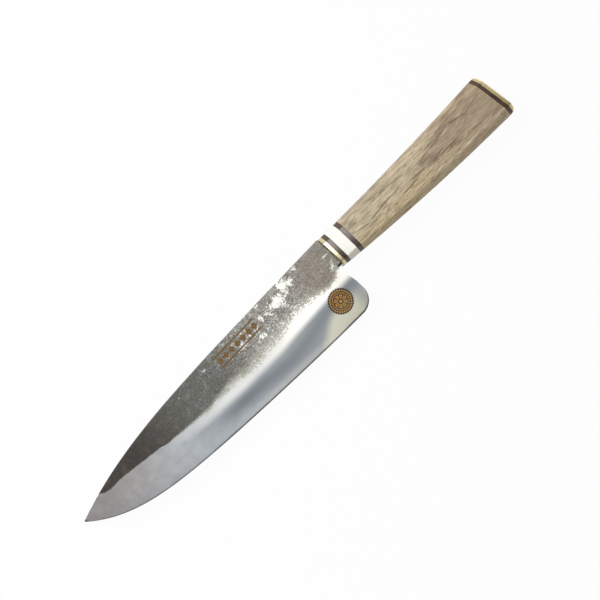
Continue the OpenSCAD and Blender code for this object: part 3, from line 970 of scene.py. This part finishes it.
def bone_white():
    """White collar with faint cream clouds and short fibres, like polished bone."""
    sh = Shader("white_collar_bone")
    cloud = sh.noise(0.22, 3.0, 0.55)
    fibre = sh.streaks(0.7, 3.6, 3.0, 0.6)
    colour = sh.mix(cloud, srgb(248, 247, 241), srgb(240, 237, 226))
    colour = sh.tint(colour, sh.step(fibre, 0.6, 0.75), 0.3, srgb(226, 219, 202))
    _, y, _ = sh.parts()
    # The lower facet is painted darker and warmer, as shade
    colour = sh.tint(colour, sh.step(y, -6.8, -8.2), 0.7, srgb(206, 196, 172))
    return sh.surface(colour, sh.blend(fibre, 0.22, 0.34), fibre, 0.008, 0.5)


def figure_lines(sh, x, y, z, sway, gaps):
    """How dark the figure's long lines make the wood: wavering, and broken where gaps says."""
    drift = sh.times(sh.minus(z, NEAR_FACE), LINE_DRIFT)
    level = sh.plus(sh.plus(y, drift), sway)
    total = 0.0
    for (x0, y0), (x1, y1), width, amount in FIGURE_LINES:
        middle = sh.node("ShaderNodeMapRange", x, x0, x1, y0, y1).outputs[0]
        off = sh.absolute(sh.minus(level, middle))
        line = sh.times(sh.step(off, width, 0.2 * width), amount)
        ends = sh.hump(x, x0 - 2.0, x0 + 2.0, x1 - 2.0, x1 + 2.0)
        total = sh.larger(total, sh.times(line, ends))
    return sh.times(total, gaps)


def walnut():
    """Pale walnut: rings that close in arches round a greyer heart, golden and grey drifts,
    close lengthwise streaks and short dark pores."""
    sh = Shader("walnut_handle")
    x, y, z = sh.parts()
    sway = sh.streaks(0.03, 0.09, 3.0, 0.55)
    ripple = sh.streaks(0.09, 0.4, 3.0, 0.6)
    # Distance from the tree's heart, which rises through the handle towards the butt
    rise = sh.plus(sh.plus(y, -1.5), sh.times(sway, 6.0))
    heart = sh.plus(-2.0, sh.times(sh.minus(x, 74.0), 0.12))
    depth = sh.minus(z, heart)
    far = sh.plus(sh.length(rise, depth), sh.times(ripple, 2.6))
    year = sh.math("FRACT", sh.math("DIVIDE", far, 1.35))
    late = sh.hump(year, 0.2, 0.8, 0.86, 1.0)
    heartwood = sh.step(far, 15.0, 12.0)
    streak = sh.streaks(0.035, 0.6, 3.0, 0.6)
    fibre = sh.streaks(0.13, 2.0, 4.0, 0.7)
    pore_noise = sh.streaks(0.22, 1.7, 2.0, 0.5)
    pores = sh.step(sh.plus(pore_noise, sh.times(late, 0.05)), 0.6, 0.68)
    calm = sh.streaks(0.045, 0.2, 2.0, 0.5)
    lively = sh.times(sh.blend(sh.step(calm, 0.38, 0.6), 0.5, 1.0), sh.blend(heartwood, 1.0, 0.6))
    drift = sh.streaks(0.02, 0.14, 3.0, 0.5)

    colour = sh.mix(sh.step(x, 15.0, 135.0), srgb(191, 178, 151), srgb(176, 156, 127))
    golden = sh.times(sh.step(y, -2.0, -8.0), sh.step(x, 120.0, 60.0))
    colour = sh.tint(colour, golden, 0.7, srgb(180, 158, 117))
    grey = sh.times(sh.step(drift, 0.44, 0.58), sh.blend(golden, 0.5, 0.05))
    colour = sh.mix(grey, colour, srgb(160, 148, 128))
    colour = sh.tint(colour, heartwood, 0.75, srgb(150, 131, 108))
    edge = sh.hump(far, 12.2, 12.8, 13.2, 13.9)
    colour = sh.tint(colour, edge, 0.6, srgb(116, 97, 74))
    colour = sh.tint(colour, late, sh.times(lively, 0.3), srgb(126, 106, 80))
    colour = sh.tint(colour, sh.step(streak, 0.5, 0.66), 0.28, srgb(214, 198, 166))
    colour = sh.tint(colour, sh.step(streak, 0.5, 0.34), 0.26, srgb(132, 114, 90))
    colour = sh.tint(colour, sh.step(fibre, 0.5, 0.63), sh.times(lively, 0.75), srgb(222, 206, 174))
    colour = sh.tint(colour, sh.step(fibre, 0.48, 0.37), sh.times(lively, 0.72), srgb(118, 99, 76))
    waver = sh.plus(sh.times(sh.minus(sway, 0.5), 3.0), sh.times(sh.minus(ripple, 0.5), 0.9))
    lines = figure_lines(sh, x, y, z, waver, sh.blend(sh.step(fibre, 0.64, 0.48), 0.5, 1.0))
    colour = sh.mix(lines, colour, srgb(104, 84, 60))
    colour = sh.tint(colour, pores, sh.times(lively, 0.7), srgb(92, 74, 56))
    relief = sh.minus(fibre, sh.times(pores, 1.2))
    return sh.surface(colour, sh.blend(fibre, 0.42, 0.56), relief, 0.05, 0.6)


def dowel_wood():
    """Plain pale hardwood of the dowel inside the handle."""
    sh = Shader("dowel_wood")
    grain = sh.streaks(0.08, 1.6, 4.0, 0.6)
    fleck = sh.step(sh.streaks(0.5, 5.0, 2.0), 0.6, 0.7)
    colour = sh.mix(grain, srgb(222, 200, 160), srgb(196, 168, 124))
    colour = sh.tint(colour, fleck, 0.4, srgb(160, 128, 88))
    return sh.surface(colour, sh.blend(grain, 0.55, 0.7), grain, 0.03, 0.6)


def bedding():
    """Set resin round the tang, amber and slightly clouded."""
    sh = Shader("tang_bedding_resin")
    cloud = sh.noise(0.35, 3.0, 0.6)
    bubbles = sh.step(sh.noise(2.2, 1.0), 0.68, 0.74)
    colour = sh.mix(cloud, srgb(226, 206, 150), srgb(198, 172, 110))
    colour = sh.tint(colour, bubbles, 0.5, srgb(240, 230, 196))
    return sh.surface(colour, sh.blend(cloud, 0.22, 0.4), sh.plus(cloud, bubbles), 0.02, 0.5)


def dress_hidden_nodes():
    """The solids inside the handle keep their shape and get finished materials."""
    for name, material in (("core_dowel", dowel_wood()), ("tang_bedding", bedding()), ("butt_pins", brass())):
        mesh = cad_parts[name].data
        for k in range(len(mesh.materials)):
            mesh.materials[k] = material


# Stage, light and camera

def seen_directly(tree):
    """1 for rays from the camera, from a mirror or through glass, and 0 for those that only light."""
    rays = add_node(tree, "ShaderNodeLightPath").outputs
    seen = add_node(tree, "ShaderNodeMath", rays["Is Camera Ray"], rays["Is Glossy Ray"], operation="ADD")
    seen = add_node(tree, "ShaderNodeMath", seen.outputs[0], rays["Is Transmission Ray"],
                    operation="ADD", use_clamp=True)
    return seen.outputs[0]


def make_world():
    world = bpy.data.worlds.new("studio")
    bpy.context.scene.world = world
    world.use_nodes = True
    tree = world.node_tree

    def fade(value, low, high, start, stop):
        return add_node(tree, "ShaderNodeMapRange", value, low, high, start, stop,
                        interpolation_type="SMOOTHSTEP").outputs[0]

    light = tree.nodes["Background"]
    light.inputs["Color"].default_value = WHITE
    light.inputs["Strength"].default_value = SKY
    around = add_node(tree, "ShaderNodeTexCoord").outputs["Generated"]
    way = add_node(tree, "ShaderNodeSeparateXYZ", around).outputs
    ceiling = fade(way["Z"], 0.55, 0.9, 1.0, CEILING)
    wall = fade(way["Y"], 0.02, -0.16, 1.0, DIM_WALL)
    room = add_node(tree, "ShaderNodeMath", ceiling, wall, operation="MULTIPLY").outputs[0]
    by_camera = add_node(tree, "ShaderNodeLightPath").outputs["Is Camera Ray"]
    shown = add_node(tree, "ShaderNodeMath", room, by_camera, operation="MAXIMUM").outputs[0]
    backdrop = add_node(tree, "ShaderNodeBackground", WHITE, shown).outputs[0]
    choose = add_node(tree, "ShaderNodeMixShader", seen_directly(tree), light.outputs[0], backdrop)
    give(tree.nodes["World Output"].inputs["Surface"], choose.outputs[0])


def make_floor():
    mesh = bpy.data.meshes.new("floor")
    a, b = -FLOOR_HALF, FLOOR_HALF
    mesh.from_pydata([(a, a, 0), (b, a, 0), (b, b, 0), (a, b, 0)], [], [(0, 1, 2, 3)])
    floor = add_object("floor", mesh)
    material = bpy.data.materials.new("floor_white")
    material.use_nodes = True
    tree = material.node_tree
    tree.nodes.clear()
    paper = add_node(tree, "ShaderNodeBsdfDiffuse", (FLOOR_GREY, FLOOR_GREY, FLOOR_GREY, 1.0))
    glow = add_node(tree, "ShaderNodeEmission", WHITE, 1.0)
    share = add_node(tree, "ShaderNodeMath", seen_directly(tree), FLOOR_GLOW, operation="MULTIPLY")
    choose = add_node(tree, "ShaderNodeMixShader", share.outputs[0], paper.outputs[0], glow.outputs[0])
    add_node(tree, "ShaderNodeOutputMaterial", choose.outputs[0])
    mesh.materials.append(material)


def add_softbox(name, place, aim, size, power):
    lamp = bpy.data.lights.new(name, "AREA")
    lamp.shape = "RECTANGLE"
    lamp.size, lamp.size_y = size
    lamp.energy = power
    obj = add_object(name, lamp)
    obj.location = place
    obj.rotation_euler = (Vector(aim) - Vector(place)).to_track_quat("-Z", "Y").to_euler()


def make_lights():
    for box in SOFTBOXES:
        add_softbox(*box)


def make_camera():
    """The photograph's camera: high above the knife, turned so that the knife runs up to the right."""
    lens = bpy.data.cameras.new("camera")
    lens.sensor_width = 36.0
    lens.lens = 120.0
    lens.clip_start, lens.clip_end = 0.05, 20.0
    camera = add_object("camera", lens)
    back = (CAMERA_PLACE - CAMERA_TARGET).normalized()
    right = (CAMERA_RIGHT - back * CAMERA_RIGHT.dot(back)).normalized()
    turn = Matrix((right, back.cross(right), back)).transposed().to_4x4()
    camera.matrix_world = Matrix.Translation(CAMERA_PLACE) @ turn
    bpy.context.scene.camera = camera


bpy.context.scene.view_settings.view_transform = "Standard"
make_camera()
make_world()
make_floor()
make_lights()
make_blade()
make_front_stack()
make_handle_body()
make_butt()
dress_hidden_nodes()
